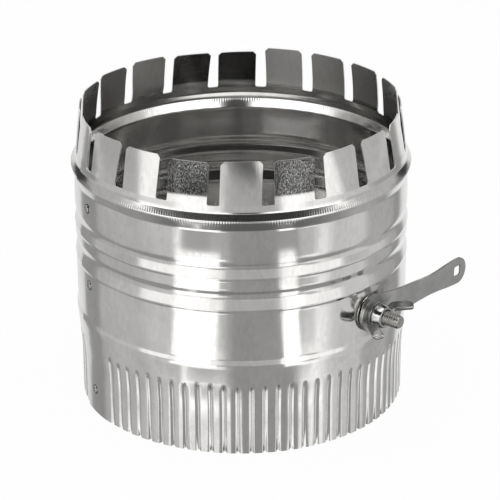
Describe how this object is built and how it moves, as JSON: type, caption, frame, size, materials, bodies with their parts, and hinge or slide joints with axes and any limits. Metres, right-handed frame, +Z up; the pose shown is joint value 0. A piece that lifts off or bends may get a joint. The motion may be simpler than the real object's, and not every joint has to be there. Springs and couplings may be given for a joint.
{
  "type": "starting collar with damper",
  "caption": "Galvanised round starting collar with bend-over tabs, a rolled bead, a crimped end and a quarter-turn damper blade with an outside lever and wing nut.",
  "frame": {"origin": "on the collar's axis in the plane of the crimped edge", "axes": "+Z up the collar's axis towards the tabs, +X along the damper rod towards the lever side, +Y where the lever's tip points when the damper is closed"},
  "size_m": [0.172, 0.1554, 0.139],
  "materials": {
    "galvanised_sheet": "spangled galvanised",
    "zinc_hardware": "bright zinc plated",
    "spring_steel": "drawn wire"
  },
  "bodies": {
    "collar": {"collar_shell": "galvanised_sheet", "seam_rivet_top": "zinc_hardware", "seam_rivet_middle": "zinc_hardware", "seam_rivet_bottom": "zinc_hardware", "outer_washer": "zinc_hardware", "inner_washer": "zinc_hardware", "end_washer": "zinc_hardware"},
    "damper": {"drive_stud": "zinc_hardware", "lever_handle": "zinc_hardware", "lock_washer": "zinc_hardware", "damper_blade": "galvanised_sheet", "drive_plate": "galvanised_sheet", "drive_rivet_outer": "zinc_hardware", "drive_rivet_inner": "zinc_hardware", "end_bracket": "galvanised_sheet", "end_rivet_front": "zinc_hardware", "end_rivet_rear": "zinc_hardware", "end_spring": "spring_steel"},
    "wing_nut": {"wing_nut": "zinc_hardware"},
    "end_pin": {"end_pin": "zinc_hardware"}
  },
  "joints": [
    {"name": "damper_turn", "type": "hinge", "parent": "collar", "child": "damper", "pos_m": [0, 0, 0.0575], "axis": [1, 0, 0], "continuous": true},
    {"name": "wing_nut_turn", "type": "hinge", "parent": "damper", "child": "wing_nut", "pos_m": [0.0832, 0, 0.0575], "axis": [1, 0, 0], "continuous": true},
    {"name": "end_pin_slide", "type": "slide", "parent": "damper", "child": "end_pin", "axis": [1, 0, 0], "range_m": [0, 0.004], "stiffness_N_per_m": 400, "springref_m": -0.006, "deforming": ["end_spring"]}
  ]
}
